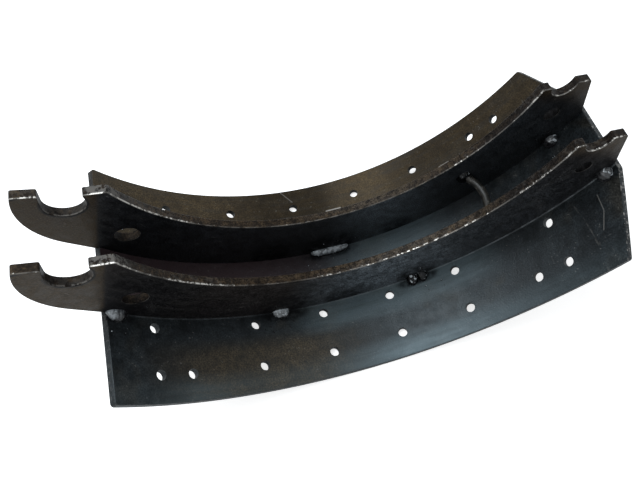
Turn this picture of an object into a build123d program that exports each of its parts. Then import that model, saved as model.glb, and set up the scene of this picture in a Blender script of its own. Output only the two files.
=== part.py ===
from build123d import *
import math
import os

os.makedirs("parts", exist_ok=True)

# A bare brake shoe for a drum brake: a rolled table that carries the lining, two
# webs stood on edge along it, a bowed rod between them for the return spring, and
# the weld beads that join them. It lies on the back of its table, webs up.
# Lengths are in millimetres and angles in degrees. An angle along the shoe is
# measured at the drum's axis from the middle of the table, positive towards the
# roller end.

# Table, the curved plate
table_radius = 198.0
table_thickness = 4.8
table_width = 172.0
table_anchor_angle = 60.2
table_corner_angle = 60.3
table_nose_angle = 68.2
table_nose_width = 60.0
table_corner_round = 2.5
table_edge_break = 0.4

# Rivet holes: every column has holes in the outer rows, most in the inner rows too
rivet_hole_diameter = 7.2
rivet_outer_row = 67.1
rivet_inner_row = 34.4
rivet_column_pitch = 16.8
rivet_end_pitch = 7.3

# Webs
web_thickness = 6.4
web_gap = 40.0
web_corner_round = 1.2
web_edge_round = 0.5
web_depth = 56.7

# Anchor end of each web, a hook round the anchor pin
anchor_across = 167.0
anchor_drop = 39.5
anchor_seat_radius = 12.0
hook_tip_reach = 22.4
hook_tip_rise = 17.2
hook_mouth_height = 10.4
hook_mouth_lean = 12.0
hook_depth = 38.25
hook_straight = 22.0
heel_drop = 2.2
shoulder_rise = 4.9
shoulder_length = 13.6
shoulder_fall = 2.6
shoulder_step = 3.9
shoulder_step_run = 1.4

# Roller end of each web, a seat for the roller's journal
roller_across = 152.5
roller_drop = 38.0
roller_seat_radius = 9.4
roller_lip_width = 6.0
roller_tip_width = 9.8
roller_tip_fall = 0.9

# Round holes in the webs
anchor_hole_diameter = 16.0
anchor_hole_inset = 21.8
anchor_hole_angle = -58.9
roller_hole_diameter = 11.0
roller_hole_inset = 26.2
roller_hole_angle = 66.6

# Rod between the webs, bowed towards the roller end
rod_diameter = 6.0
rod_radius = 159.8
rod_angle = 39.1
rod_bow = 9.0
rod_weld_radius = 5.4

# Weld beads, each a row of overlapping drops
weld_drop_radius = 5.8
weld_drop_set_out = 1.6
weld_drop_pitch = 2.8
outer_beads = ((-57.9, 15.5), (-18.5, 15.5), (16.2, 17.5), (65.2, 12.0))
inner_beads = ((-2.4, 34.0), (58.7, 12.0))

# How far the shoe is turned about the drum's axis when it lies at rest
rest_turn = -0.9

# Derived sizes
table_inner = table_radius - table_thickness
web_outside = web_gap / 2 + web_thickness


def polar(radius, angle):
    """A point of the side view, from the drum's axis."""
    turn = math.radians(angle)
    return (radius * math.sin(turn), -radius * math.cos(turn))


# Frame: the origin is the anchor pin's centre, midway between the webs. X runs
# towards the roller end, Y towards the back web, and Z up.
lie = math.radians(rest_turn)
across = Vector(math.cos(lie), 0, math.sin(lie))
upwards = Vector(-math.sin(lie), 0, math.cos(lie))
drum_centre = across * anchor_across + upwards * anchor_drop
side_view = Plane(origin=drum_centre, x_dir=across, z_dir=(0, -1, 0))


def face_of_shoe(radius, angle):
    """A plane square to the radius, its X along the shoe and its Z outwards."""
    turn = math.radians(angle)
    outward = across * math.sin(turn) - upwards * math.cos(turn)
    along = across * math.cos(turn) + upwards * math.sin(turn)
    return Plane(origin=drum_centre + outward * radius, x_dir=along, z_dir=outward)


# Table
full_columns = (
    0.5 * rivet_column_pitch,
    1.5 * rivet_column_pitch,
    2.5 * rivet_column_pitch + rivet_end_pitch,
)
outer_only_columns = (2.5 * rivet_column_pitch,)
corner_cut_angle = (table_corner_angle + table_nose_angle) / 2
corner_cut_half = math.radians(table_nose_angle - table_corner_angle) / 2
corner_cut_reach = table_radius * math.tan(corner_cut_half)
punch_depth = 3 * table_thickness

with BuildPart() as table:
    with BuildSketch(side_view):
        with BuildLine():
            table_start = -90 - table_anchor_angle
            table_sweep = table_anchor_angle + table_nose_angle
            lining_face = CenterArc((0, 0), table_radius, table_start, table_sweep)
            web_face = CenterArc((0, 0), table_inner, table_start, table_sweep)
            Line(lining_face @ 0, web_face @ 0)
            Line(lining_face @ 1, web_face @ 1)
        make_face()
    extrude(amount=table_width / 2, both=True)

    # The roller end narrows to a nose under the webs
    with BuildSketch(face_of_shoe(table_radius, corner_cut_angle)):
        with BuildLine():
            Polyline(
                (-corner_cut_reach, table_width / 2),
                (corner_cut_reach, table_nose_width / 2),
                (2 * corner_cut_reach, table_nose_width / 2),
                (2 * corner_cut_reach, table_width),
                (-corner_cut_reach, table_width),
                close=True,
            )
        make_face()
        mirror(about=Plane.XZ)
    extrude(amount=punch_depth, both=True, mode=Mode.SUBTRACT)

    # Sheared corners, slightly rounded, and eased edges
    short_edges = table.edges().filter_by(lambda edge: edge.length < 1.5 * table_thickness)
    fillet(short_edges, table_corner_round)
    broad_faces = table.faces().sort_by(SortBy.AREA)[-2:]
    chamfer(broad_faces.edges(), table_edge_break)

    # Rivet holes
    for column in full_columns + outer_only_columns:
        rows = [rivet_outer_row]
        if column in full_columns:
            rows.append(rivet_inner_row)
        for end in (-1, 1):
            with BuildSketch(face_of_shoe(table_radius, end * column)):
                for row in rows:
                    with Locations((0, row), (0, -row)):
                        Circle(rivet_hole_diameter / 2)
            extrude(amount=punch_depth, both=True, mode=Mode.SUBTRACT)

table.part.label = "table"
export_step(table.part, "parts/table.step")


# Outline of the webs, named points of the side view
mouth_lean = math.radians(hook_mouth_lean)
seat_left = (
    -anchor_across - anchor_seat_radius * math.cos(mouth_lean),
    -anchor_drop + anchor_seat_radius * math.sin(mouth_lean),
)
seat_bottom = (-anchor_across, -anchor_drop - anchor_seat_radius)
seat_right = (-anchor_across + anchor_seat_radius, -anchor_drop)
hook_outer = (-anchor_across - hook_tip_reach, hook_tip_rise - anchor_drop)
hook_inner = (
    seat_left[0] + hook_mouth_height * math.tan(mouth_lean),
    seat_left[1] + hook_mouth_height,
)
shoulder_left = (seat_right[0], shoulder_rise - anchor_drop)
shoulder_right = (shoulder_left[0] + shoulder_length, shoulder_left[1] - shoulder_fall)
inner_start = (shoulder_right[0] + shoulder_step_run, shoulder_right[1] - shoulder_step)
inner_middle = polar(table_inner - web_depth, 0)
roller_left = (roller_across - roller_seat_radius, -roller_drop)
lip_left = (roller_left[0] - roller_lip_width, -roller_drop)
roller_bottom = (roller_across, -roller_drop - roller_seat_radius)
roller_right = (roller_across + roller_seat_radius, -roller_drop)
tip_corner = (roller_right[0] + roller_tip_width, roller_right[1] - roller_tip_fall)
nose_point = polar(table_inner, table_nose_angle)
heel_point = polar(table_inner, -table_anchor_angle)
heel_outer = polar(table_inner + heel_drop, -table_anchor_angle)
# The hook's straight lower edge keeps its distance from the pin, so it clears the seat
heel_from_pin = (heel_outer[0] + anchor_across, heel_outer[1] + anchor_drop)
lean = math.asin(hook_depth / math.hypot(*heel_from_pin))
lean += math.atan2(heel_from_pin[0], -heel_from_pin[1])
hook_bend = (
    heel_outer[0] - hook_straight * math.sin(lean),
    heel_outer[1] + hook_straight * math.cos(lean),
)
rounded_corners = (
    hook_outer,
    hook_inner,
    shoulder_left,
    shoulder_right,
    lip_left,
    roller_left,
    roller_right,
    tip_corner,
)


def is_rounded(corner):
    """Whether a corner of the outline is one that is eased."""
    gaps = [math.dist((corner.X, corner.Y), point) for point in rounded_corners]
    return min(gaps) < 0.01


def rests_on_table(edge):
    """Whether an edge of a web runs along the table or its end."""
    middle = side_view.to_local_coords(edge.center())
    radius = math.hypot(middle.X, middle.Y)
    angle = math.degrees(math.atan2(middle.X, -middle.Y))
    return radius > table_inner - 0.01 and angle > -table_anchor_angle - 0.01


# Webs
for web_name, facing in (("web_front", 1), ("web_back", -1)):
    with BuildPart() as web:
        with BuildSketch(side_view.offset(facing * web_gap / 2)) as web_outline:
            with BuildLine():
                Polyline(seat_left, hook_inner, hook_outer)
                ThreePointArc(seat_left, seat_bottom, seat_right)
                Polyline(seat_right, shoulder_left, shoulder_right, inner_start)
                ThreePointArc(inner_start, inner_middle, lip_left)
                Line(lip_left, roller_left)
                ThreePointArc(roller_left, roller_bottom, roller_right)
                Polyline(roller_right, tip_corner, nose_point)
                ThreePointArc(nose_point, polar(table_inner, 0), heel_point)
                Line(heel_point, heel_outer)
                under_hook = Line(heel_outer, hook_bend)
                TangentArc(hook_bend, hook_outer, tangent=under_hook % 1)
            make_face()
            fillet(web_outline.vertices().filter_by(is_rounded), web_corner_round)
            with Locations(polar(table_inner - anchor_hole_inset, anchor_hole_angle)):
                Circle(anchor_hole_diameter / 2, mode=Mode.SUBTRACT)
            with Locations(polar(table_inner - roller_hole_inset, roller_hole_angle)):
                Circle(roller_hole_diameter / 2, mode=Mode.SUBTRACT)
        extrude(amount=facing * web_thickness)

        # The sheared edges are eased wherever they stand clear of the table
        flat_faces = web.faces().filter_by(Axis.Y)
        free_edges = flat_faces.edges().filter_by(rests_on_table, reverse=True)
        fillet(free_edges, web_edge_round)

    web.part.label = web_name
    export_step(web.part, "parts/" + web_name + ".step")


# Spring rod
rod_middle = face_of_shoe(rod_radius, rod_angle).origin
rod_plane = Plane(origin=rod_middle, x_dir=across, z_dir=-upwards)
rod_bend_radius = ((web_gap / 2) ** 2 + rod_bow**2) / (2 * rod_bow)
rod_half_angle = math.degrees(math.asin(web_gap / 2 / rod_bend_radius))
rod_spare_angle = math.degrees(rod_diameter / rod_bend_radius)
rod_sweep_start = -rod_half_angle - rod_spare_angle

with BuildPart() as spring_rod:
    with BuildLine(rod_plane) as rod_path:
        CenterArc(
            (rod_bow - rod_bend_radius, 0),
            rod_bend_radius,
            rod_sweep_start,
            -2 * rod_sweep_start,
        )
    with BuildSketch(Plane(origin=rod_path.line @ 0, z_dir=rod_path.line % 0)):
        Circle(rod_diameter / 2)
    sweep()
    with Locations(rod_plane):
        Box(4 * rod_bend_radius, web_gap, 4 * rod_diameter, mode=Mode.INTERSECT)

spring_rod.part.label = "spring_rod"
export_step(spring_rod.part, "parts/spring_rod.step")

# Welds at the rod's ends
for weld_name, facing in (("rod_weld_front", 1), ("rod_weld_back", -1)):
    with BuildPart() as rod_weld:
        with Locations(rod_plane):
            with Locations((0, facing * web_gap / 2)):
                Sphere(rod_weld_radius)
            Box(4 * rod_bend_radius, web_gap, 4 * rod_diameter, mode=Mode.INTERSECT)
        add(spring_rod.part, mode=Mode.SUBTRACT)

    rod_weld.part.label = weld_name
    export_step(rod_weld.part, "parts/" + weld_name + ".step")


def drop_centres(middle_angle, length):
    """Centres of the drops of a bead, along the corner of web and table."""
    run = max(length - 2 * weld_drop_radius, 0)
    steps = round(run / weld_drop_pitch)
    turn = math.degrees(run / table_inner)
    starts = [0.0]
    if steps > 0:
        starts = [turn * step / steps - turn / 2 for step in range(steps + 1)]
    return [polar(table_inner, middle_angle + start) for start in starts]


# Weld beads between webs and table, outside and inside each web
for web_name, facing in (("front", 1), ("back", -1)):
    outside = ("outer", facing * web_outside, facing, outer_beads)
    inside = ("inner", facing * web_gap / 2, -facing, inner_beads)
    for row_name, face_offset, away, beads in (outside, inside):
        web_side = side_view.offset(face_offset)
        drop_middles = side_view.offset(face_offset + away * weld_drop_set_out)
        for number, (middle_angle, length) in enumerate(beads, start=1):
            with BuildPart() as bead:
                with Locations(drop_middles):
                    with Locations(*drop_centres(middle_angle, length)):
                        Sphere(weld_drop_radius)
                with BuildSketch(web_side):
                    Circle(table_inner)
                extrude(amount=away * 2 * weld_drop_radius, mode=Mode.INTERSECT)

            bead_name = "weld_" + web_name + "_" + row_name + "_" + str(number)
            bead.part.label = bead_name
            export_step(bead.part, "parts/" + bead_name + ".step")
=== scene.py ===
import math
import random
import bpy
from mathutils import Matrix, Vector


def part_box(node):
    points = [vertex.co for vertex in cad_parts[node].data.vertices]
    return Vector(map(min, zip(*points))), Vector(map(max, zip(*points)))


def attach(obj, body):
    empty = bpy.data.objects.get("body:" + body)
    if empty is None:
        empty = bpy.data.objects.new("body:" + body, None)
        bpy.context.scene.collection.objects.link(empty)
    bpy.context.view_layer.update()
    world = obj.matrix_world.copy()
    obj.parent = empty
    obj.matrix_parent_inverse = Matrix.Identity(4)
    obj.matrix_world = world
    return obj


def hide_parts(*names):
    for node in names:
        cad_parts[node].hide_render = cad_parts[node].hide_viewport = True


bl_info = {
    "name": "Brake shoe finish",
    "version": (1, 0, 0),
    "blender": (4, 5, 0),
    "location": "View3D > Sidebar > Brake shoe",
    "description": "Paint, welds, spatter and a plain stage for a bare brake shoe",
    "category": "Object",
}

import bmesh
import bpy
from bpy.props import FloatProperty, FloatVectorProperty, IntProperty, PointerProperty
from mathutils import Matrix, Vector, noise

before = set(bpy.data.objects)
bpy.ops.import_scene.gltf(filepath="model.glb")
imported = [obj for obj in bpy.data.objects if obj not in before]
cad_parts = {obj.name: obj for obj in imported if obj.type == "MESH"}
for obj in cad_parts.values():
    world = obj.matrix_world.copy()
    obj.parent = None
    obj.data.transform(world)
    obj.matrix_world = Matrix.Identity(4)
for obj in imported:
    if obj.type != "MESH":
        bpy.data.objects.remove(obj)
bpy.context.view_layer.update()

# The shoe in its own frame, in metres: the drum's axis, how far the shoe is turned
# about it, the table's inner face, and the faces of the webs
DRUM_CENTRE = Vector((0.1676, 0.0, 0.036872))
REST_TURN = math.radians(-0.9)
TABLE_INNER = 0.1932
ARC_PER_DEGREE = math.radians(TABLE_INNER)
WEB_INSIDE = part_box("web_back")[0].y
WEB_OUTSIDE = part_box("web_back")[1].y
WEB_MIDDLE = (WEB_INSIDE + WEB_OUTSIDE) / 2
FLOOR_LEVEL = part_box("table")[0].z
TIP_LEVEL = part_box("web_front")[1].z

# Weld beads: angle along the shoe, then for each lump where it stands from the
# bead's middle, its length, and its share of a full bead's width and height. The
# third outer bead is two lumps.
OUTER_BEADS = (
    (-57.9, ((0.0, 0.0155, 0.90),)),
    (-18.5, ((0.0, 0.0150, 0.85),)),
    (16.2, ((-0.0042, 0.0100, 1.0), (0.0045, 0.0092, 0.95))),
    (65.2, ((0.0, 0.0120, 1.0),)),
)
INNER_BEADS = (
    (-2.4, ((0.0, 0.0340, 0.72),)),
    (58.7, ((0.0, 0.0120, 0.95),)),
)

# How much pale ash and painted highlight a bead's crown carries: most on the beads left of
# the first angle, little on those right of the second, and next to none between
PALEST_CROWNS = 0.58
DULL_CROWNS = 0.13
DARK_CROWNS = 0.03
PALEST_BEFORE_ANGLE = 0.0
DULL_AFTER_ANGLE = 40.0
WELD_NAMES = {PALEST_CROWNS: "ashy highlit weld", DULL_CROWNS: "dull weld", DARK_CROWNS: "black weld"}

# The slanting line on a web's side where the painted light on a hook ends
HOOK_LIGHT_SLOPE = 0.385
HOOK_LIGHT_END = 0.0188

# Radius of the anchor pin's seat
PIN_SEAT = 0.0120

# The angles that every list of stops runs over
PROFILE_ANGLES = (-100.0, 100.0)

# Amounts at angles along the shoe: painted sheen on the webs' outer and inner sides and
# along the front rim, and half the strength of the dust and painted sheen on the back flange
OUTSIDE_SHEEN = (
    (-100, 0.0), (-20, 0.0), (-14, 0.20), (-7, 0.45), (3, 0.92), (12, 0.90), (19, 0.80),
    (25, 0.55), (30, 0.38), (40, 0.28), (52, 0.22), (64, 0.12), (72, 0.0),
)
INSIDE_SHEEN = (
    (-100, 0.15), (-4, 0.15), (8, 0.80), (16, 1.0), (22, 0.75), (32, 0.36), (62, 0.36),
    (72, 0.10),
)
RIM_SHEEN = (
    (-100, 0.02), (-52, 0.05), (-42, 0.20), (-25, 0.08), (-12, 0.10), (-3, 0.28), (8, 0.55),
    (20, 0.46), (33, 0.20), (45, 0.12), (58, 0.05), (100, 0.02),
)
BACK_DUST_AND_SHEEN = (
    (-100, 0.50), (-30, 0.62), (-22, 0.45), (-16, 0.28), (-1, 0.26), (5, 0.62), (13, 0.90),
    (19, 0.48), (28, 0.30), (40, 0.31), (50, 0.37), (100, 0.40),
)

# Holes in the webs: angle, radius from the drum's axis, half size, and how dark the
# painted shade on their walls is
WEB_HOLES = (
    (-58.9, 0.1714, 0.0080, 0.2),
    (66.6, 0.1670, 0.0055, 0.9),
)

# How worn the front corner of each web is, at angles along the shoe
FRONT_WEAR = (
    (-100, 0.35), (-80, 0.45), (-77, 0.95), (-73, 0.90), (-64, 0.45), (-55, 0.80), (-43, 0.80),
    (-36, 0.30), (-14, 0.30), (-11, 0.60), (-5, 0.55), (18, 0.80), (30, 0.85), (50, 0.45),
    (56, 0.70), (68, 0.60), (72, 0.80), (78, 0.60), (100, 0.35),
)
BACK_WEAR = (
    (-100, 0.30), (-78, 0.95), (-64, 0.95), (-50, 0.65), (-40, 0.25), (-22, 0.35), (0, 0.50),
    (8, 0.25), (34, 0.45), (42, 0.70), (50, 0.60), (60, 0.35), (69, 0.80), (75, 0.60),
    (100, 0.35),
)

# Colour of the paint's gloss
TABLE_TINT = (0.86, 0.95, 1.0)
SOOT_TINT = (0.12, 0.12, 0.13)
WEB_TINT = (0.88, 0.66, 0.48)
DUST_TINT = (0.70, 0.58, 0.46)
HOOK_TINT = (0.80, 0.60, 0.38)
SHADED_TINT = (0.12, 0.10, 0.09)
CUT_TINT = (0.78, 0.62, 0.42)

# The darker and the paler paint of the rod and of the welds
ROD_COLOURS = ((0.010, 0.010, 0.009), (0.020, 0.018, 0.015))
WELD_COLOURS = ((0.005, 0.005, 0.006), (0.018, 0.018, 0.020))
SOOTY_WELD_COLOURS = ((0.001, 0.001, 0.001), (0.004, 0.004, 0.005))

# How far the burnt paint reaches round each bead, and how far a bead's middle stands
# from web and from table
OUTER_SOOT = (0.016, 0.024, 0.017, 0.007)
INNER_SOOT = (0.020, 0.008)
BEAD_MIDDLE = 0.003

# Scratches and scuffs on the table: each from one angle and distance across to another,
# its half width, and how bare it is
SCRATCHES = (
    ((-10.6, 0.0850), (-8.2, 0.0735), 0.0007, 0.22),
    ((61.5, -0.0369), (61.1, -0.0485), 0.0006, 0.20),
    ((61.1, -0.0485), (59.0, -0.0603), 0.0006, 0.20),
    ((0.0, 0.0571), (3.7, 0.0570), 0.0012, 0.60),
    ((31.9, 0.0566), (34.6, 0.0568), 0.0010, 0.40),
)

# Columns of rivet holes with a hole beside the webs, and that row's place
INNER_HOLE_ANGLES = (8.4, 25.2, 49.3)
INNER_HOLE_ROW = 0.0344
HOLE_CLEARANCE = 0.0052

# Spatter stays between these angles, where table and webs both carry it. A drop lies
# this far past a bead's end at most, and this far out from the web or up it.
SPATTER_SEED = 5
SPATTER_FROM = -59.4
SPATTER_TO = 66.5
SPATTER_PAST_BEAD = 0.009
SPATTER_OUT = (0.0095, 0.016)
SPATTER_UP = (0.008, 0.016)
SMALLEST_DROP = 0.35

# Lumps of weld metal: how blunt their ends are, and how uneven they are. Those longer
# than LONG_LUMP have blunter ends, and those shorter than SHORT_LUMP rounder ripples.
BLUNTNESS = 2.4
EXTRA_BLUNTNESS = 120.0
LONG_LUMP = 0.016
SHORT_LUMP = 0.014
UNEVENNESS = 0.08

# The rod's welds: how lumpy, how large their lumps are, and how far they stand out
ROD_WELD_LUMPINESS = 0.16
ROD_WELD_GRAIN = 1.7
ROD_WELD_DEPTH = 0.8

# The lamps, square and soft, and where both look
LAMP_SIZE = 0.6
LAMP_TARGET = (DRUM_CENTRE.x, -0.03, -0.12)
OVERHEAD_PLACE = (-0.06, 0.20, 0.65)
OVERHEAD_COLOUR = (0.90, 0.96, 1.0)
SIDE_PLACE = (-0.75, -0.55, 0.65)
SIDE_COLOUR = (1.0, 0.97, 0.93)
SKY_COLOUR = (0.95, 0.98, 1.0, 1.0)
FLOOR_GLOW = 0.68

# The camera of the photograph
CAMERA_PLACE = Vector((0.10988, -0.17319, 0.27185))
CAMERA_HEADING = math.radians(14.06)
CAMERA_ELEVATION = math.radians(62.79)
CAMERA_ROLL = math.radians(-2.17)
CAMERA_SHIFT = (-0.0162, -0.0196)
SENSOR_WIDTH = 36.0


# Sizes and colours that a user may change


class ShoeFinish(bpy.types.PropertyGroup):
    """Colours and gloss of the paint, the dirt and the bare steel."""

    paint: FloatVectorProperty(
        name="Paint",
        description="Black paint of the table",
        subtype="COLOR",
        default=(0.0062, 0.0074, 0.0085),
    )
    worn_paint: FloatVectorProperty(
        name="Worn paint",
        description="Lighter patches of the table's paint",
        subtype="COLOR",
        default=(0.0115, 0.0145, 0.0165),
    )
    web_paint: FloatVectorProperty(
        name="Web paint",
        description="Black paint of the webs' sides",
        subtype="COLOR",
        default=(0.0048, 0.0044, 0.0050),
    )
    # Painted sheen: the blue-grey that lightens the webs' sides
    web_sheen: FloatVectorProperty(
        name="Faded web paint",
        description="Blue-grey paint of the webs' outer sides towards the roller end",
        subtype="COLOR",
        default=(0.0550, 0.0670, 0.0780),
    )
    # Painted sheen: the blue-grey mixed into the table's paint where it shines
    sheen: FloatVectorProperty(
        name="Sheen",
        description="Blue-grey bloom on the table's paint",
        subtype="COLOR",
        default=(0.150, 0.205, 0.230),
    )
    # Painted light: the lighter brown-grey on the sides of the hooks and roller ends
    painted_end_light: FloatVectorProperty(
        name="Handled paint",
        description="Brown-grey film on the sides of the hooks and roller ends",
        subtype="COLOR",
        default=(0.0235, 0.0155, 0.0075),
    )
    cut_film: FloatVectorProperty(
        name="Film on cut faces",
        description="Dark brown film on the narrow faces of the webs",
        subtype="COLOR",
        default=(0.0230, 0.0150, 0.0085),
    )
    rust: FloatVectorProperty(
        name="Rust film",
        description="Red-brown film in the channel at the anchor end",
        subtype="COLOR",
        default=(0.0420, 0.0260, 0.0280),
    )
    dust: FloatVectorProperty(
        name="Dust",
        description="Olive-brown dust dried on the back flange",
        subtype="COLOR",
        default=(0.0245, 0.0176, 0.0092),
    )
    bare: FloatVectorProperty(
        name="Bare steel",
        description="Steel where the paint has chipped away",
        subtype="COLOR",
        default=(0.52, 0.50, 0.47),
    )
    # Colour of pale ash and painted highlights on the welds' crowns
    ash_and_highlight: FloatVectorProperty(
        name="Ash",
        description="Pale ash and rubbed crowns of the welds",
        subtype="COLOR",
        default=(0.54, 0.59, 0.63),
    )
    # Also the colour of painted shade on the webs' sides, cut faces and hole walls
    soot: FloatVectorProperty(
        name="Soot",
        description="Burnt paint round the welds",
        subtype="COLOR",
        default=(0.0030, 0.0030, 0.0034),
    )
    roughness: FloatProperty(
        name="Paint roughness",
        description="Roughness of clean paint",
        subtype="FACTOR",
        min=0.0,
        max=1.0,
        default=0.40,
    )
    chipping: FloatProperty(
        name="Chipping",
        description="How much of the webs' edges is bare",
        subtype="FACTOR",
        min=0.0,
        max=1.0,
        default=0.5,
    )


class WeldShape(bpy.types.PropertyGroup):
    """Sizes of the weld beads and the spatter."""

    width: FloatProperty(
        name="Bead width",
        description="How far a bead reaches along the table",
        unit="LENGTH",
        default=0.0072,
    )
    height: FloatProperty(
        name="Bead height",
        description="How far a bead reaches up the web",
        unit="LENGTH",
        default=0.0057,
    )
    sink: FloatProperty(
        name="Sink",
        description="How deep a bead goes into web and table",
        unit="LENGTH",
        default=0.0012,
    )
    ripple_pitch: FloatProperty(
        name="Ripple pitch",
        description="Distance between two ripples",
        unit="LENGTH",
        default=0.0026,
    )
    ripple_depth: FloatProperty(
        name="Ripple depth",
        description="Depth of a ripple, as a share of the bead's size",
        subtype="FACTOR",
        default=0.016,
    )
    spatter_count: IntProperty(
        name="Spatter",
        description="Drops of spatter beside each bead",
        default=9,
    )
    spatter_radius: FloatProperty(
        name="Spatter radius",
        description="Radius of the largest drop of spatter",
        unit="LENGTH",
        default=0.0009,
    )


class StageSettings(bpy.types.PropertyGroup):
    """The floor, the lamps and the camera."""

    floor: FloatVectorProperty(
        name="Floor",
        description="Colour of the floor",
        subtype="COLOR",
        default=(0.82, 0.82, 0.82),
    )
    floor_size: FloatProperty(
        name="Floor size",
        description="Width of the floor",
        unit="LENGTH",
        default=12.0,
    )
    surroundings: FloatProperty(
        name="Surroundings",
        description="Strength of the light from all round",
        default=0.45,
    )
    overhead_power: FloatProperty(
        name="Overhead lamp",
        description="Power of the soft lamp above the shoe",
        unit="POWER",
        default=6.5,
    )
    side_power: FloatProperty(
        name="Side lamp",
        description="Power of the soft lamp at the left",
        unit="POWER",
        default=1.5,
    )
    lens: FloatProperty(
        name="Lens",
        description="Focal length of the camera, in millimetres",
        default=30.66,
    )


# Helpers for materials


class Recipe:
    """A material's nodes, put together by short calls."""

    def __init__(self, name):
        self.material = bpy.data.materials.new(name)
        self.material.use_nodes = True
        self.nodes = self.material.node_tree.nodes
        self.links = self.material.node_tree.links
        self.shader = self.nodes["Principled BSDF"]
        coordinates = self.nodes.new("ShaderNodeTexCoord")
        self.place = coordinates.outputs["Object"]
        self.normal = coordinates.outputs["Normal"]

    def add(self, kind, feeds, output=0, **settings):
        """Adds a node, sets it, feeds its sockets, and returns one output."""
        node = self.nodes.new(kind)
        for name, value in settings.items():
            setattr(node, name, value)
        for socket, value in feeds.items():
            self.feed(node.inputs[socket], value)
        return node.outputs[output]

    def feed(self, socket, value):
        """Links an output to a socket, or sets a plain value on it."""
        if isinstance(value, bpy.types.NodeSocket):
            self.links.new(value, socket)
        elif socket.type == "RGBA" and len(value) == 3:
            socket.default_value = (*value, 1.0)
        else:
            socket.default_value = value

    def calc(self, operation, first, second=0.0):
        """One sum of the Math node."""
        feeds = {0: first, 1: second}
        return self.add("ShaderNodeMath", feeds, operation=operation)

    def step(self, value, low, high, out_low=0.0, out_high=1.0):
        """A smooth step of value from low to high."""
        feeds = {
            "Value": value,
            "From Min": low,
            "From Max": high,
            "To Min": out_low,
            "To Max": out_high,
        }
        return self.add("ShaderNodeMapRange", feeds, interpolation_type="SMOOTHSTEP")

    def vector(self, operation, first, second=(0.0, 0.0, 0.0), output="Vector"):
        """One sum of the Vector Math node."""
        feeds = {0: first, 1: second}
        return self.add("ShaderNodeVectorMath", feeds, output=output, operation=operation)

    def scaled(self, vector, factor):
        """A vector or colour times a number."""
        feeds = {0: vector, "Scale": factor}
        return self.add("ShaderNodeVectorMath", feeds, operation="SCALE")

    def mark(self, place, start, end, width):
        """A thin line between two places, each an angle and a distance across."""
        ends = []
        for angle, across in (start, end):
            ends.append(Vector((math.radians(angle) * TABLE_INNER, across, 0.0)))
        along = ends[1] - ends[0]
        from_start = self.vector("SUBTRACT", place, tuple(ends[0]))
        unit = tuple(along / along.length_squared)
        share = self.vector("DOT_PRODUCT", from_start, unit, "Value")
        share = self.add("ShaderNodeClamp", {0: share})
        nearest = self.scaled(tuple(along), share)
        gap = self.vector("LENGTH", self.vector("SUBTRACT", from_start, nearest), output="Value")
        return self.step(gap, 0.0, width, 1.0, 0.0)

    def split(self, vector):
        """The three numbers of a vector."""
        self.add("ShaderNodeSeparateXYZ", {0: vector})
        return self.nodes[-1].outputs[:3]

    def join(self, x, y, z):
        """A vector of three numbers."""
        return self.add("ShaderNodeCombineXYZ", {0: x, 1: y, 2: z})

    def mix(self, share, first, second):
        """A colour between first and second."""
        node = self.nodes.new("ShaderNodeMix")
        node.data_type = "RGBA"
        self.feed(node.inputs[0], share)
        self.feed(node.inputs[6], first)
        self.feed(node.inputs[7], second)
        return node.outputs[2]

    def grain(self, size, vector=None, detail=3.0, rough=0.55, twist=0.0, stretch=None):
        """Noise with features about as large as size, in metres."""
        vector = vector or self.place
        if stretch:
            vector = self.vector("MULTIPLY", vector, stretch)
        feeds = {
            "Vector": vector,
            "Scale": 1.0 / size,
            "Detail": detail,
            "Roughness": rough,
            "Distortion": twist,
        }
        return self.add("ShaderNodeTexNoise", feeds, output="Fac")

    def plus(self, first, second):
        """Two values added."""
        return self.calc("ADD", first, second)

    def minus(self, first, second):
        """The first value less the second."""
        return self.calc("SUBTRACT", first, second)

    def both(self, first, second):
        """Two values multiplied, which is where both masks are."""
        return self.calc("MULTIPLY", first, second)

    def either(self, first, second):
        """The larger of two values, which is where at least one mask is."""
        return self.calc("MAXIMUM", first, second)

    def less(self, mask):
        """Where a mask isn't."""
        return self.minus(1.0, mask)

    def bump(self, height, distance, strength):
        """A bumped normal."""
        feeds = {"Height": height, "Distance": distance, "Strength": strength}
        return self.add("ShaderNodeBump", feeds)

    def shoe_place(self):
        """Angle along the shoe in degrees, distance across it, and radius."""
        x, y, z = self.split(self.place)
        level = self.minus(x, DRUM_CENTRE.x)
        drop = self.minus(DRUM_CENTRE.z, z)
        turn = self.calc("ARCTAN2", level, drop)
        turn = self.minus(turn, REST_TURN)
        squares = self.plus(self.both(level, level), self.both(drop, drop))
        radius = self.calc("SQRT", squares)
        return self.calc("DEGREES", turn), y, radius

    def plate(self, angle, across, radius):
        """Places along the rolled plate: arc length, across, and height."""
        arc = self.both(angle, ARC_PER_DEGREE)
        return self.join(arc, across, radius)

    def window(self, value, low, high, soft):
        """One between low and high, and soft at both ends."""
        rise = self.step(value, low - soft, low + soft)
        fall = self.step(value, high - soft, high + soft, 1.0, 0.0)
        return self.both(rise, fall)

    def profile(self, value, stops):
        """A brightness that runs through stops of value and amount."""
        low, high = PROFILE_ANGLES
        feeds = {"Value": value, "From Min": low, "From Max": high}
        share = self.add("ShaderNodeMapRange", feeds)
        node = self.nodes.new("ShaderNodeValToRGB")
        ramp = node.color_ramp
        for index, (stop, amount) in enumerate(stops):
            place = (stop - low) / (high - low)
            if index < 2:
                element = ramp.elements[index]
                element.position = place
            else:
                element = ramp.elements.new(place)
            element.color = (amount, amount, amount, 1.0)
        self.feed(node.inputs[0], share)
        return node.outputs[0]

    def finish(self, **sockets):
        """Feeds the shader's sockets and returns the material."""
        for name, value in sockets.items():
            self.feed(self.shader.inputs[name.replace("_", " ")], value)
        return self.material


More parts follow.
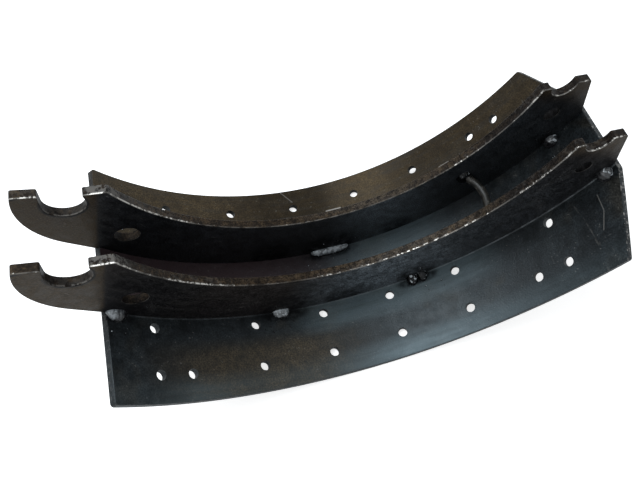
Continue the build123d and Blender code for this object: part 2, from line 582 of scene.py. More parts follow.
def radial_part(recipe):
    """How far a face looks towards the drum's axis, from -1 to 1."""
    y = recipe.split(recipe.place)[1]
    centre = recipe.join(DRUM_CENTRE.x, y, DRUM_CENTRE.z)
    inward = recipe.vector("NORMALIZE", recipe.vector("SUBTRACT", centre, recipe.place))
    return recipe.vector("DOT_PRODUCT", inward, recipe.normal, "Value")


def soot_mask(recipe, angle, across, radius, side_share):
    """Burnt paint round every weld bead, reaching less far where side_share is large."""
    distance_out = recipe.calc("ABSOLUTE", across)
    mask = 0.0
    rows = (
        (WEB_OUTSIDE + BEAD_MIDDLE, OUTER_BEADS, OUTER_SOOT),
        (WEB_INSIDE - BEAD_MIDDLE, INNER_BEADS, INNER_SOOT),
    )
    for row_place, beads, reaches in rows:
        for (bead_angle, lumps), reach in zip(beads, reaches):
            length = sum(lump[1] for lump in lumps)
            off_angle = recipe.calc("ABSOLUTE", recipe.minus(angle, bead_angle))
            arc = recipe.both(off_angle, ARC_PER_DEGREE)
            arc = recipe.either(recipe.minus(arc, length / 4), 0.0)
            side = recipe.minus(distance_out, row_place)
            side = recipe.both(side, side_share)
            rise = recipe.minus(TABLE_INNER - BEAD_MIDDLE, radius)
            rise = recipe.both(rise, 0.6)
            gap = recipe.vector("LENGTH", recipe.join(arc, side, rise), output="Value")
            mask = recipe.either(mask, recipe.step(gap, reach * 0.45, reach, 1.0, 0.0))
    ragged = recipe.step(recipe.grain(0.006, detail=4.0), 0.36, 0.56)
    return recipe.both(mask, recipe.plus(0.45, recipe.both(ragged, 0.55)))


def table_material(finish):
    """Black paint on rolled plate, dusty on the back flange, chipped at its rim."""
    recipe = Recipe("table paint")
    angle, across, radius = recipe.shoe_place()
    plate = recipe.plate(angle, across, radius)
    facing = radial_part(recipe)
    inner_face = recipe.step(facing, 0.5, 0.9)
    rim = recipe.step(recipe.calc("ABSOLUTE", facing), 0.80, 0.98, 1.0, 0.0)

    fine = recipe.grain(0.0011, detail=2.0)
    mottle = recipe.grain(0.008, detail=5.0, rough=0.62)
    cloud = recipe.grain(0.05, detail=3.0, twist=0.4)
    streak = recipe.grain(0.004, plate, detail=3.0, stretch=(0.12, 1.0, 1.0))

    # Clean paint, lighter in patches
    tone = recipe.step(mottle, 0.3, 0.7, 0.65, 1.45)
    tone = recipe.both(tone, recipe.step(fine, 0.3, 0.7, 0.5, 1.6))
    paint = recipe.mix(recipe.step(cloud, 0.4, 0.62), finish.paint, finish.worn_paint)
    paint = recipe.scaled(paint, tone)

    # Dust on the back flange and in patches elsewhere, rust in the channel
    back = recipe.step(across, WEB_OUTSIDE, WEB_OUTSIDE + 0.004)
    dusty = recipe.both(back, recipe.step(streak, 0.2, 0.6, 0.7, 1.0))
    brown_share = recipe.step(cloud, 0.52, 0.66, 0.0, 0.35)
    low_front = recipe.window(angle, -46.0, -4.0, 12.0)
    low_front = recipe.both(low_front, recipe.step(across, -0.040, -0.056))
    brown_share = recipe.either(brown_share, recipe.both(low_front, 0.70))
    dust_share = recipe.either(dusty, brown_share)
    dust_share = recipe.both(dust_share, inner_face)
    strength = recipe.plus(1.0, recipe.both(low_front, 0.35))
    # The dust on the back flange is stronger in a painted sheen just past the middle
    back_dust_and_sheen = recipe.both(recipe.profile(angle, BACK_DUST_AND_SHEEN), 2.0)
    strength = recipe.mix(back, strength, back_dust_and_sheen)
    dust = recipe.scaled(tuple(finish.dust), recipe.both(tone, strength))
    colour = recipe.mix(dust_share, paint, dust)
    back_shine = recipe.calc("MINIMUM", recipe.plus(back_dust_and_sheen, 0.12), 1.25)
    tint = recipe.mix(dusty, TABLE_TINT, recipe.scaled(DUST_TINT, back_shine))
    # Painted shade: the gloss in front of the back web is dimmed towards the roller end
    far_right = recipe.both(recipe.step(angle, 48.0, 58.0), recipe.less(back))
    tint = recipe.mix(recipe.both(far_right, 0.4), tint, SHADED_TINT)
    distance_out = recipe.calc("ABSOLUTE", across)
    channel = recipe.step(distance_out, WEB_INSIDE, WEB_INSIDE + 0.001, 1.0, 0.0)
    rusty = recipe.both(channel, recipe.step(angle, -30.0, 12.0, 0.8, 0.0))
    colour = recipe.mix(recipe.both(rusty, inner_face), colour, finish.rust)

    # Specks of grit, and pale scuffs at the roller end
    speck = recipe.step(recipe.grain(0.0014, detail=0.0), 0.74, 0.80)
    speck = recipe.both(speck, recipe.step(mottle, 0.45, 0.6))
    roller_end = recipe.window(angle, 44.0, 66.0, 4.0)
    scuff = recipe.grain(0.0035, plate, detail=2.0, stretch=(1.0, 0.22, 1.0))
    scuff = recipe.both(recipe.step(scuff, 0.64, 0.72), roller_end)
    scuff = recipe.both(scuff, recipe.step(recipe.grain(0.02), 0.5, 0.6))
    pale = recipe.either(recipe.both(speck, 0.10), recipe.both(scuff, 0.06))
    flat_place = recipe.join(recipe.both(angle, ARC_PER_DEGREE), across, 0.0)
    for start, end, width, amount in SCRATCHES:
        scratch = recipe.both(recipe.mark(flat_place, start, end, width), amount)
        scratch = recipe.both(scratch, inner_face)
        pale = recipe.either(pale, scratch)
    colour = recipe.mix(pale, colour, finish.bare)

    # Painted sheen along the front rim, beside the front web, and in the channel
    rim_sheen = recipe.both(
        recipe.profile(angle, RIM_SHEEN),
        recipe.step(across, -0.064, -0.081),
    )
    upper_front = recipe.window(angle, 0.0, 26.0, 9.0)
    upper_front = recipe.both(upper_front, recipe.step(across, -0.080, -0.050, 0.0, 0.05))
    by_web = recipe.window(angle, -13.0, 34.0, 6.0)
    by_web = recipe.both(by_web, recipe.step(across, -0.054, -0.042))
    outside_web = recipe.plus(upper_front, recipe.both(by_web, 0.30))
    outside_web = recipe.both(outside_web, recipe.less(channel))
    outside_web = recipe.both(outside_web, recipe.less(back))
    in_channel = recipe.both(recipe.window(angle, -1.0, 26.0, 7.0), recipe.both(channel, 0.24))
    table_sheen_share = recipe.plus(rim_sheen, recipe.plus(outside_web, in_channel))
    table_sheen_share = recipe.both(recipe.both(table_sheen_share, inner_face), recipe.step(streak, 0.3, 0.6, 0.75, 1.1))
    colour = recipe.mix(table_sheen_share, colour, finish.sheen)

    # A pale line where paint has gathered along the webs
    off_web = recipe.minus(distance_out, WEB_OUTSIDE)
    along_web = recipe.window(off_web, -0.0005, 0.0011, 0.0003)
    amount = recipe.step(angle, -20.0, 50.0, 0.09, 0.20)
    broken = recipe.step(recipe.grain(0.006, plate, stretch=(1.0, 0.3, 0.3)), 0.38, 0.60, 0.5, 1.0)
    line = recipe.both(recipe.both(along_web, amount), broken)
    line = recipe.both(line, inner_face)
    colour = recipe.mix(line, colour, finish.ash_and_highlight)

    # Burnt paint, and bare steel in chips along the rim
    soot = soot_mask(recipe, angle, across, radius, 3.0)
    soot = recipe.both(soot, recipe.step(facing, -0.9, -0.5))
    colour = recipe.mix(recipe.both(soot, 0.85), colour, finish.soot)
    chips = recipe.step(recipe.grain(0.0028, detail=3.0, rough=0.7), 0.52, 0.64)
    ends = recipe.step(angle, 52.0, 60.0, 0.08, 0.38)
    chips = recipe.both(recipe.both(rim, chips), ends)
    colour = recipe.mix(chips, colour, finish.bare)

    roughness = recipe.step(mottle, 0.3, 0.7, finish.roughness - 0.06, finish.roughness + 0.10)
    roughness = recipe.plus(roughness, recipe.both(soot, 0.3))
    roughness = recipe.plus(roughness, recipe.both(dust_share, 0.12))
    relief = recipe.plus(recipe.both(fine, 0.5), recipe.both(mottle, 0.6))
    normal = recipe.bump(relief, 0.0007, 0.5)
    return recipe.finish(
        Base_Color=colour,
        Roughness=roughness,
        Specular_IOR_Level=0.26,
        Specular_Tint=recipe.mix(recipe.both(soot, 0.9), tint, SOOT_TINT),
        Normal=normal,
    )


def web_material(name, finish, wear_stops, near_side):
    """Black paint on cut plate, with painted light and painted shade at both ends, chipped along
    its near_side corner.
    """
    recipe = Recipe(name)
    angle, across, radius = recipe.shoe_place()
    plate = recipe.plate(angle, across, radius)
    ny = recipe.split(recipe.normal)[1]
    side_on = recipe.step(recipe.calc("ABSOLUTE", ny), 0.55, 0.95)
    cut_face = recipe.less(side_on)
    distance_out = recipe.calc("ABSOLUTE", across)
    from_corner = recipe.minus(across, near_side)
    by_corner = recipe.step(from_corner, 0.0004, 0.0018, 1.0, 0.0)

    fine = recipe.grain(0.0010, detail=2.0)
    mottle = recipe.grain(0.007, detail=5.0, rough=0.62)
    cloud = recipe.grain(0.035, detail=3.0, twist=0.4)
    cut_marks = recipe.grain(0.0012, plate, detail=2.0, stretch=(1.0, 0.12, 0.4))

    # Paint on the sides, with a blue-grey painted sheen that is strongest just past the middle
    tone = recipe.step(mottle, 0.3, 0.7, 0.6, 1.5)
    tone = recipe.both(tone, recipe.step(fine, 0.3, 0.7, 0.3, 2.0))
    outside = recipe.step(distance_out, WEB_MIDDLE - 0.001, WEB_MIDDLE + 0.001)
    outer_sheen = recipe.profile(angle, OUTSIDE_SHEEN)
    inner_sheen = recipe.profile(angle, INSIDE_SHEEN)
    web_sheen_share = recipe.mix(outside, inner_sheen, outer_sheen)
    colour = recipe.mix(web_sheen_share, finish.web_paint, finish.web_sheen)

    # Painted light: the sides of the hooks and of the roller ends are a lighter brown-grey
    x, _, z = recipe.split(recipe.place)
    from_hook = recipe.minus(x, recipe.both(z, HOOK_LIGHT_SLOPE))
    lit_hook = recipe.step(from_hook, HOOK_LIGHT_END - 0.0018, HOOK_LIGHT_END + 0.0018, 1.0, 0.0)
    lip = recipe.step(angle, 69.0, 76.0)
    brown_share = recipe.either(lit_hook, lip)
    brown_share = recipe.both(brown_share, recipe.step(cloud, 0.3, 0.6, 0.7, 1.0))
    colour = recipe.mix(brown_share, colour, finish.painted_end_light)

    # The cut faces are darker and browner, and so is a line round the pin's seat. Painted
    # shade darkens the sides beside the hooks and towards the roller end, the cut faces at both
    # ends, and the holes' walls
    colour = recipe.mix(recipe.both(cut_face, 0.85), colour, finish.cut_film)
    grime = recipe.step(recipe.grain(0.004, detail=5.0, rough=0.7), 0.42, 0.62, 0.85, 0.10)
    grime = recipe.both(grime, cut_face)
    from_pin = recipe.vector("LENGTH", recipe.join(x, 0.0, z), output="Value")
    seat_line = recipe.step(from_pin, PIN_SEAT + 0.0008, PIN_SEAT + 0.0024, 1.0, 0.0)
    tip_line = recipe.step(z, TIP_LEVEL - 0.0026, TIP_LEVEL - 0.0010)
    stain = recipe.both(recipe.either(seat_line, tip_line), side_on)
    stain = recipe.both(stain, recipe.step(mottle, 0.35, 0.55, 0.4, 1.0))
    tint = recipe.mix(brown_share, WEB_TINT, HOOK_TINT)
    # Painted shade on the webs' sides beside the hooks and towards the roller end: a dark gloss
    # tint and the soot colour
    shaded = recipe.window(angle, -72.0, -46.0, 8.0)
    shaded = recipe.either(shaded, recipe.step(angle, 23.0, 36.0, 0.0, 0.6))
    shaded = recipe.both(shaded, recipe.less(brown_share))
    tint = recipe.mix(recipe.both(shaded, side_on), tint, SHADED_TINT)
    colour = recipe.mix(recipe.both(recipe.both(shaded, side_on), 0.5), colour, finish.soot)
    tint = recipe.mix(cut_face, tint, CUT_TINT)
    # Painted shade on the cut faces at the hooks and roller ends: a dark gloss tint and the soot
    # colour
    hook_end = recipe.window(angle, -81.5, -68.5, 2.0)
    hook_end = recipe.either(hook_end, recipe.step(angle, -66.0, -71.0, 0.0, 0.25))
    hook_end = recipe.both(cut_face, hook_end)
    roller_end = recipe.both(cut_face, recipe.step(angle, 40.0, 56.0))
    shaded_cut_ends = recipe.either(recipe.both(hook_end, 0.62), recipe.both(roller_end, 0.60))
    tint = recipe.mix(shaded_cut_ends, tint, SHADED_TINT)
    colour = recipe.mix(shaded_cut_ends, colour, finish.soot)
    tint = recipe.mix(recipe.either(stain, grime), tint, SOOT_TINT)
    colour = recipe.mix(recipe.both(grime, 0.7), colour, finish.soot)
    colour = recipe.mix(stain, colour, finish.soot)
    # Painted shade on the walls of the webs' holes, in the soot colour and a dark gloss tint
    walls = 0.0
    for hole_angle, hole_radius, hole_size, amount in WEB_HOLES:
        off_turn = recipe.minus(angle, hole_angle)
        arc = recipe.both(off_turn, math.radians(hole_radius))
        off_radius = recipe.minus(radius, hole_radius)
        gap = recipe.vector("LENGTH", recipe.join(arc, off_radius, 0.0), output="Value")
        wall = recipe.both(recipe.step(gap, hole_size, hole_size + 0.001, 1.0, 0.0), cut_face)
        walls = recipe.either(walls, wall)
        wall = recipe.both(wall, amount)
        colour = recipe.mix(wall, colour, finish.soot)
        tint = recipe.mix(wall, tint, SOOT_TINT)
    tone = recipe.mix(recipe.both(brown_share, 0.5), tone, (1.0, 1.0, 1.0))
    colour = recipe.scaled(colour, tone)

    # Chips along the near corner, as many as the wear stops say, and at the shoulder
    worn = recipe.profile(angle, wear_stops)
    worn = recipe.both(worn, finish.chipping * 2.0)
    chip_noise = recipe.grain(0.0032, detail=4.0, rough=0.7)
    threshold = recipe.minus(0.76, recipe.both(worn, 0.34))
    above = recipe.minus(chip_noise, threshold)
    chips = recipe.step(above, 0.0, 0.05)
    corner = recipe.both(cut_face, recipe.step(by_corner, 0.0, 1.0, 0.03, 1.0))
    shoulder = recipe.both(recipe.window(angle, -79.0, -71.0, 1.5), cut_face)
    corner = recipe.either(corner, recipe.both(shoulder, 0.14))
    by_seat = recipe.step(from_pin, PIN_SEAT + 0.0005, PIN_SEAT + 0.004, 0.85, 0.0)
    corner = recipe.both(corner, recipe.less(recipe.either(walls, by_seat)))
    chips = recipe.both(chips, corner)
    edge_line = recipe.step(from_corner, 0.0005, 0.0012, 1.0, 0.0)
    edge_line = recipe.both(edge_line, recipe.both(worn, 0.36))
    edge_line = recipe.both(edge_line, recipe.less(recipe.either(walls, seat_line)))
    edge_line = recipe.both(edge_line, recipe.step(mottle, 0.40, 0.56, 0.25, 1.0))
    edge_line = recipe.both(edge_line, recipe.step(recipe.calc("ABSOLUTE", ny), 0.97, 0.90))
    colour = recipe.mix(recipe.either(chips, edge_line), colour, finish.bare)

    # Scratches across the hooks and roller ends
    scratch = recipe.grain(0.0022, plate, detail=1.0, stretch=(0.25, 1.0, 1.0), twist=0.3)
    scratch = recipe.both(recipe.step(scratch, 0.68, 0.76), side_on)
    scratch = recipe.both(scratch, recipe.step(mottle, 0.5, 0.62))
    smear = recipe.grain(0.005, plate, detail=3.0, stretch=(0.16, 1.0, 1.0))
    smear = recipe.both(recipe.step(smear, 0.50, 0.66), side_on)
    pale = recipe.both(scratch, 0.10)
    pale = recipe.plus(pale, recipe.both(smear, 0.012))
    grit = recipe.both(recipe.step(fine, 0.62, 0.72), side_on)
    pale = recipe.plus(pale, recipe.both(grit, 0.035))
    colour = recipe.mix(pale, colour, finish.bare)

    # Burnt paint by the welds
    soot = soot_mask(recipe, angle, across, radius, 1.0)
    colour = recipe.mix(recipe.both(soot, 0.85), colour, finish.soot)
    tint = recipe.mix(recipe.both(soot, 0.9), tint, SOOT_TINT)

    roughness = recipe.step(mottle, 0.3, 0.7, finish.roughness - 0.04, finish.roughness + 0.14)
    roughness = recipe.plus(roughness, recipe.both(soot, 0.25))
    relief = recipe.plus(recipe.both(fine, 0.3), recipe.both(mottle, 0.6))
    relief = recipe.plus(relief, recipe.both(recipe.both(cut_marks, cut_face), 0.5))
    normal = recipe.bump(relief, 0.0006, 0.5)
    return recipe.finish(
        Base_Color=colour,
        Metallic=recipe.both(chips, 0.6),
        Roughness=roughness,
        Specular_IOR_Level=0.22,
        Specular_Tint=tint,
        Normal=normal,
    )


def rod_material(finish):
    """Drawn steel rod under thin paint, rubbed in places."""
    recipe = Recipe("rod paint")
    drawn = recipe.grain(0.0009, detail=2.0, stretch=(1.0, 0.15, 1.0))
    mottle = recipe.grain(0.004, detail=4.0)
    colour = recipe.mix(recipe.step(mottle, 0.35, 0.65), *ROD_COLOURS)
    rubbed = recipe.both(recipe.step(drawn, 0.5, 0.7), recipe.step(mottle, 0.5, 0.62))
    colour = recipe.mix(recipe.both(rubbed, 0.15), colour, finish.bare)
    relief = recipe.plus(recipe.both(drawn, 0.5), recipe.both(mottle, 0.5))
    return recipe.finish(
        Base_Color=colour,
        Roughness=recipe.step(mottle, 0.3, 0.7, 0.32, 0.50),
        Specular_IOR_Level=0.25,
        Normal=recipe.bump(relief, 0.0003, 0.4),
    )


def weld_material(name, finish, ash_and_highlight):
    """Painted weld metal: glossy black, with ashy crowns that carry painted highlights, and
    painted glints.
    """
    recipe = Recipe(name)
    nz = recipe.split(recipe.normal)[2]
    mottle = recipe.grain(0.004, detail=4.0, rough=0.6)
    fine = recipe.grain(0.0006, detail=2.0)
    patch = recipe.step(mottle, 0.40, 0.60, 0.35, 1.0)
    # Painted highlight: a bead's upward faces turn pale with ash and highlight, and white glints
    # are painted on them
    crown = recipe.both(recipe.step(nz, 0.35, 0.80), patch)
    glint = recipe.step(recipe.grain(0.0026, detail=1.0), 0.57, 0.62)
    glint = recipe.both(glint, recipe.step(nz, 0.55, 0.75))
    bright = recipe.either(recipe.both(crown, ash_and_highlight), recipe.both(glint, 0.8))
    dark, pale = SOOTY_WELD_COLOURS if ash_and_highlight <= DARK_CROWNS else WELD_COLOURS
    colour = recipe.mix(recipe.step(mottle, 0.35, 0.65), dark, pale)
    colour = recipe.mix(bright, colour, finish.ash_and_highlight)
    relief = recipe.plus(recipe.both(fine, 0.4), recipe.both(mottle, 0.6))
    return recipe.finish(
        Base_Color=colour,
        Roughness=recipe.step(mottle, 0.3, 0.7, 0.14, 0.34),
        Specular_IOR_Level=0.45 if ash_and_highlight > DARK_CROWNS else 0.12,
        Normal=recipe.bump(relief, 0.0002, 0.3),
    )


def paint_node(node_name, material):
    """Gives a CAD node a new material."""
    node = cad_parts[node_name]
    node.data.materials.clear()
    node.data.materials.append(material)


def shared_weld_material(finish, ash_and_highlight):
    """The weld paint with that much ash, made the first time it is asked for."""
    name = WELD_NAMES[ash_and_highlight]
    if name not in bpy.data.materials:
        weld_material(name, finish, ash_and_highlight)
    return bpy.data.materials[name]


# Helpers for shapes


def on_shoe(arc, across, height, angle):
    """A point that lies arc along the table from angle, and height above it."""
    turn = math.radians(angle) + arc / TABLE_INNER + REST_TURN
    radius = TABLE_INNER - height
    offset = Vector((radius * math.sin(turn), across, -radius * math.cos(turn)))
    return Vector((DRUM_CENTRE.x, 0.0, DRUM_CENTRE.z)) + offset


def close_cut(bm, place, direction):
    """Cuts off what lies on the far side of a plane, and closes the cut."""
    geometry = bm.verts[:] + bm.edges[:] + bm.faces[:]
    cut = bmesh.ops.bisect_plane(
        bm,
        geom=geometry,
        plane_co=place,
        plane_no=direction,
        clear_outer=True,
    )
    rim = [item for item in cut["geom_cut"] if isinstance(item, bmesh.types.BMEdge)]
    bmesh.ops.contextual_create(bm, geom=rim)


def new_piece(bm, name, material):
    """Makes an object of a finished mesh, riding on the body."""
    bmesh.ops.remove_doubles(bm, verts=bm.verts, dist=1e-6)
    bmesh.ops.recalc_face_normals(bm, faces=bm.faces)
    for face in bm.faces:
        face.smooth = True
    mesh = bpy.data.meshes.new(name)
    bm.to_mesh(mesh)
    bm.free()
    mesh.materials.append(material)
    piece = bpy.data.objects.new(name, mesh)
    bpy.context.scene.collection.objects.link(piece)
    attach(piece, "root")
    return piece


def add_lump(bm, shape, angle, lump_sizes, face, away, seed):
    """Adds one rippled lump of weld metal in the corner of web and table."""
    middle, length, share = lump_sizes
    lump = bmesh.new()
    rings = max(28, int(6 * length / shape.ripple_pitch))
    bmesh.ops.create_uvsphere(lump, u_segments=40, v_segments=rings, radius=1.0)
    turn = Matrix.Rotation(math.pi / 2, 3, "Y")
    bmesh.ops.rotate(lump, cent=(0, 0, 0), matrix=turn, verts=lump.verts)
    blunt = BLUNTNESS + EXTRA_BLUNTNESS * max(0.0, length - LONG_LUMP)
    for vert in lump.verts:
        along = vert.co.x
        ring = max(math.hypot(vert.co.y, vert.co.z), 1e-6)
        full = max(1.0 - abs(along) ** blunt, 0.0) ** 0.5
        place = along * length / 2
        lag = 0.35 * length if length < SHORT_LUMP else 0.004
        crest = place - lag * (1.0 - (vert.co.z / ring) ** 2) * 0.4
        ripple = 1.0 + shape.ripple_depth * math.cos(math.tau * crest / shape.ripple_pitch)
        bumps = noise.noise(Vector((place * 260.0, vert.co.y * 1.4, seed)))
        uneven = 1.0 + UNEVENNESS * bumps
        swell = full / ring * ripple * uneven
        vert.co.y *= share * shape.width * swell
        vert.co.z *= share * shape.height * swell
        vert.co.x = place * (1.0 + 0.05 * noise.noise(Vector((vert.co.y * 300.0, 0.0, seed))))
    close_cut(lump, (0, -shape.sink, 0), (0, -1, 0))
    close_cut(lump, (0, 0, -shape.sink), (0, 0, -1))
    for vert in lump.verts:
        along, out, up = vert.co
        vert.co = on_shoe(middle + along, face + away * out, up, angle)
    mesh = bpy.data.meshes.new("lump")
    lump.to_mesh(mesh)
    lump.free()
    bm.from_mesh(mesh)
    bpy.data.meshes.remove(mesh)


def bead_rows():
    """Every bead: its CAD node, its face's place, the way it looks, and its lumps."""
    rows = []
    for web_name, side in (("front", -1), ("back", 1)):
        outer = ("outer", side * WEB_OUTSIDE, side, OUTER_BEADS)
        inner = ("inner", side * WEB_INSIDE, -side, INNER_BEADS)
        for row_name, face, away, beads in (outer, inner):
            for number, (angle, lumps) in enumerate(beads, start=1):
                node_name = f"weld_{web_name}_{row_name}_{number}"
                rows.append((node_name, face, away, angle, lumps))
    return rows


def near_hole(arc, across, height, angle):
    """Whether a place on the table is too near a rivet hole."""
    if height > 0.0:
        return False
    for hole_angle in INNER_HOLE_ANGLES:
        for end in (-1, 1):
            gap = math.radians(angle - end * hole_angle) * TABLE_INNER + arc
            if math.hypot(gap, abs(across) - INNER_HOLE_ROW) < HOLE_CLEARANCE:
                return True
    return False


def add_drop(bm, place, size):
    """Adds one drop of spatter, half sunk in what carries it."""
    bmesh.ops.create_icosphere(bm, subdivisions=2, radius=size, matrix=Matrix.Translation(place))


# Operators, one for each piece or group of like pieces


class FinishTable(bpy.types.Operator):
    """Paints the table"""

    bl_idname = "brake_shoe.finish_table"
    bl_label = "Finish the table"

    def execute(self, context):
        finish = context.scene.shoe_finish
        paint_node("table", table_material(finish))
        return {"FINISHED"}


class FinishWebs(bpy.types.Operator):
    """Paints both webs, each with its own wear"""

    bl_idname = "brake_shoe.finish_webs"
    bl_label = "Finish the webs"

    def execute(self, context):
        finish = context.scene.shoe_finish
        paint_node("web_front", web_material("front web paint", finish, FRONT_WEAR, -WEB_OUTSIDE))
        paint_node("web_back", web_material("back web paint", finish, BACK_WEAR, WEB_INSIDE))
        return {"FINISHED"}


class FinishRod(bpy.types.Operator):
    """Paints the spring rod"""

    bl_idname = "brake_shoe.finish_rod"
    bl_label = "Finish the spring rod"

    def execute(self, context):
        finish = context.scene.shoe_finish
        paint_node("spring_rod", rod_material(finish))
        return {"FINISHED"}


class MakeRodWelds(bpy.types.Operator):
    """Makes the two lumpy welds at the ends of the spring rod"""

    bl_idname = "brake_shoe.make_rod_welds"
    bl_label = "Make the rod's welds"

    def execute(self, context):
        shape = context.scene.weld_shape
        finish = context.scene.shoe_finish
        material = shared_weld_material(finish, DARK_CROWNS)
        for side, node_name in ((-1, "rod_weld_front"), (1, "rod_weld_back")):
            low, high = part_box(node_name)
            middle = (low + high) / 2
            reach = (high.x - low.x) / 2
            bm = bmesh.new()
            bmesh.ops.create_uvsphere(bm, u_segments=40, v_segments=24, radius=1.0)
            for vert in bm.verts:
                spot = vert.co * ROD_WELD_GRAIN + Vector((0, 0, 3.0 * side))
                vert.co *= 1.0 + ROD_WELD_LUMPINESS * noise.noise(spot)
                vert.co.x *= reach
                vert.co.z *= reach
                vert.co.y *= reach * ROD_WELD_DEPTH
            close_cut(bm, (0, side * shape.sink, 0), (0, side, 0))
            place = Vector((middle.x, side * WEB_INSIDE, middle.z))
            bmesh.ops.translate(bm, vec=place, verts=bm.verts)
            piece = new_piece(bm, node_name + "_lump", material)
            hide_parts(node_name)
        return {"FINISHED"}


class MakeWebWelds(bpy.types.Operator):
    """Makes the rippled beads between webs and table"""

    bl_idname = "brake_shoe.make_web_welds"
    bl_label = "Make the web welds"

    def execute(self, context):
        shape = context.scene.weld_shape
        finish = context.scene.shoe_finish
        for seed, (node_name, face, away, angle, lumps) in enumerate(bead_rows()):
            ash_and_highlight = DULL_CROWNS if angle > DULL_AFTER_ANGLE else DARK_CROWNS
            if angle < PALEST_BEFORE_ANGLE:
                ash_and_highlight = PALEST_CROWNS
            material = shared_weld_material(finish, ash_and_highlight)
            bm = bmesh.new()
            for number, lump_sizes in enumerate(lumps):
                add_lump(bm, shape, angle, lump_sizes, face, away, seed + 0.37 * number)
            piece = new_piece(bm, node_name + "_bead", material)
            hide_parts(node_name)
        return {"FINISHED"}


class MakeSpatter(bpy.types.Operator):
    """Makes drops of spatter beside the beads"""

    bl_idname = "brake_shoe.make_spatter"
    bl_label = "Make the spatter"

    def execute(self, context):
        shape = context.scene.weld_shape
        finish = context.scene.shoe_finish
        material = shared_weld_material(finish, DARK_CROWNS)
        chance = random.Random(SPATTER_SEED)
        bm = bmesh.new()
        for _, face, away, angle, lumps in bead_rows():
            reach = max(abs(middle) + length / 2 for middle, length, _ in lumps)
            for _ in range(shape.spatter_count):
                arc = chance.choice((-1, 1)) * chance.uniform(0.2, 1.0)
                arc *= reach + SPATTER_PAST_BEAD
                size = shape.spatter_radius * chance.uniform(SMALLEST_DROP, 1.0)
                if chance.random() < 0.5:
                    out = chance.uniform(*SPATTER_OUT)
                    across = face + away * out
                    height = 0.0
                else:
                    across = face
                    height = chance.uniform(*SPATTER_UP)
                place = on_shoe(arc, across, height, angle)
                stand = angle + math.degrees(arc / TABLE_INNER)
                if not SPATTER_FROM < stand < SPATTER_TO:
                    continue
                if near_hole(arc, across, height, angle):
                    continue
                add_drop(bm, place, size)
        new_piece(bm, "spatter", material)
        return {"FINISHED"}


class SetStage(bpy.types.Operator):
    """Sets the floor, the light and the camera"""

    bl_idname = "brake_shoe.set_stage"
    bl_label = "Set the stage"

    def execute(self, context):
        settings = context.scene.stage_settings
        make_floor(settings)
        make_world(settings)
        make_lamps(settings)
        make_camera(settings)
        context.scene.view_settings.view_transform = "Standard"
        return {"FINISHED"}


def make_floor(settings):
    """A wide pale floor under the shoe, a little whiter to the camera."""
    bm = bmesh.new()
    bmesh.ops.create_grid(bm, x_segments=1, y_segments=1, size=settings.floor_size / 2)
    bmesh.ops.translate(bm, vec=(DRUM_CENTRE.x, 0, FLOOR_LEVEL), verts=bm.verts)
    mesh = bpy.data.meshes.new("floor")
    bm.to_mesh(mesh)
    bm.free()
    floor = bpy.data.objects.new("floor", mesh)
    bpy.context.scene.collection.objects.link(floor)
    recipe = Recipe("floor")
    cloud = recipe.grain(0.4, detail=2.0)
    pale = tuple(1.02 * part for part in settings.floor)
    recipe.finish(
        Base_Color=recipe.mix(cloud, tuple(settings.floor), pale),
        Roughness=0.9,
        Specular_IOR_Level=0.1,
    )
    camera_ray = recipe.add("ShaderNodeLightPath", {}, output="Is Camera Ray")
    recipe.feed(recipe.shader.inputs["Emission Color"], (1.0, 1.0, 1.0))
    recipe.feed(recipe.shader.inputs["Emission Strength"], recipe.both(camera_ray, FLOOR_GLOW))
    mesh.materials.append(recipe.material)


def make_world(settings):
    """Even light from all round, and a white background."""
    world = bpy.data.worlds.new("studio")
    bpy.context.scene.world = world
    world.use_nodes = True
    nodes = world.node_tree.nodes
    links = world.node_tree.links
    background = nodes["Background"]
    background.inputs["Color"].default_value = SKY_COLOUR
    path = nodes.new("ShaderNodeLightPath")
    seen = path.outputs["Is Camera Ray"]
    for name in ("Is Glossy Ray", "Is Transmission Ray"):
        larger = nodes.new("ShaderNodeMath")
        larger.operation = "MAXIMUM"
        links.new(seen, larger.inputs[0])
        links.new(path.outputs[name], larger.inputs[1])
        seen = larger.outputs[0]
    strength = nodes.new("ShaderNodeMapRange")
    strength.inputs["To Min"].default_value = settings.surroundings
    strength.inputs["To Max"].default_value = 1.0
    links.new(seen, strength.inputs["Value"])
    links.new(strength.outputs[0], background.inputs["Strength"])


def add_lamp(name, place, power, colour):
    """Adds a square soft lamp that looks at the shoe."""
    data = bpy.data.lights.new(name, "AREA")
    data.size = LAMP_SIZE
    data.energy = power
    data.color = colour
    lamp = bpy.data.objects.new(name, data)
    bpy.context.scene.collection.objects.link(lamp)
    lamp.location = place
    look = Vector(LAMP_TARGET) - Vector(place)
    lamp.rotation_euler = look.to_track_quat("-Z", "Y").to_euler()


def make_lamps(settings):
    """A soft lamp overhead and a fainter one at the left."""
    add_lamp("overhead", OVERHEAD_PLACE, settings.overhead_power, OVERHEAD_COLOUR)
    add_lamp("left", SIDE_PLACE, settings.side_power, SIDE_COLOUR)


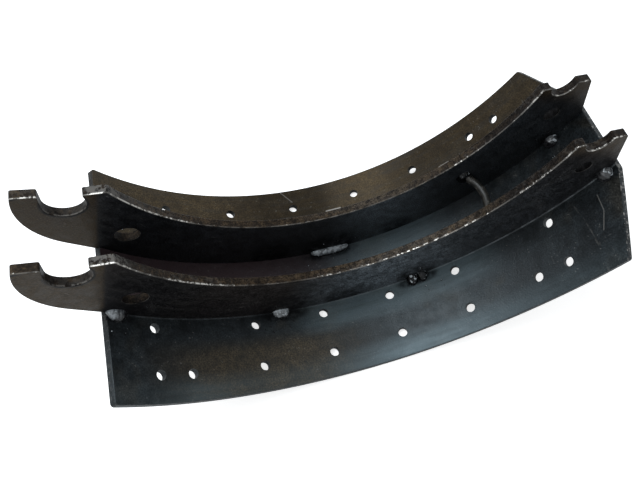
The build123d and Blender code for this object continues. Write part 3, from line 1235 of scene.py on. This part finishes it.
def make_camera(settings):
    """The camera of the photograph."""
    data = bpy.data.cameras.new("camera")
    data.lens = settings.lens
    data.sensor_width = SENSOR_WIDTH
    data.shift_x, data.shift_y = CAMERA_SHIFT
    data.clip_start = 0.01
    camera = bpy.data.objects.new("camera", data)
    bpy.context.scene.collection.objects.link(camera)
    turn = Matrix.Rotation(-CAMERA_HEADING, 4, "Z")
    turn = turn @ Matrix.Rotation(math.pi / 2 - CAMERA_ELEVATION, 4, "X")
    turn = turn @ Matrix.Rotation(CAMERA_ROLL, 4, "Z")
    camera.matrix_world = Matrix.Translation(CAMERA_PLACE) @ turn
    bpy.context.scene.camera = camera


# The panel, and how the add-on is registered


OPERATORS = (
    FinishTable,
    FinishWebs,
    FinishRod,
    MakeRodWelds,
    MakeWebWelds,
    MakeSpatter,
    SetStage,
)


class ShoePanel(bpy.types.Panel):
    """Sizes, colours and steps of the brake shoe"""

    bl_idname = "VIEW3D_PT_brake_shoe"
    bl_label = "Brake shoe"
    bl_space_type = "VIEW_3D"
    bl_region_type = "UI"
    bl_category = "Brake shoe"

    def draw(self, context):
        for group_name in ("shoe_finish", "weld_shape", "stage_settings"):
            group = getattr(context.scene, group_name)
            box = self.layout.box()
            for name in group.__annotations__:
                box.prop(group, name)
        for operator in OPERATORS:
            self.layout.operator(operator.bl_idname)


GROUPS = (
    ("shoe_finish", ShoeFinish),
    ("weld_shape", WeldShape),
    ("stage_settings", StageSettings),
)


def register():
    for name, group in GROUPS:
        bpy.utils.register_class(group)
        setattr(bpy.types.Scene, name, PointerProperty(type=group))
    for operator in OPERATORS:
        bpy.utils.register_class(operator)
    bpy.utils.register_class(ShoePanel)


def unregister():
    bpy.utils.unregister_class(ShoePanel)
    for operator in reversed(OPERATORS):
        bpy.utils.unregister_class(operator)
    for name, group in reversed(GROUPS):
        delattr(bpy.types.Scene, name)
        bpy.utils.unregister_class(group)


def main():
    """Builds everything in order."""
    register()
    bpy.ops.brake_shoe.finish_table()
    bpy.ops.brake_shoe.finish_webs()
    bpy.ops.brake_shoe.finish_rod()
    bpy.ops.brake_shoe.make_rod_welds()
    bpy.ops.brake_shoe.make_web_welds()
    bpy.ops.brake_shoe.make_spatter()
    bpy.ops.brake_shoe.set_stage()


if __name__ == "__main__":
    main()
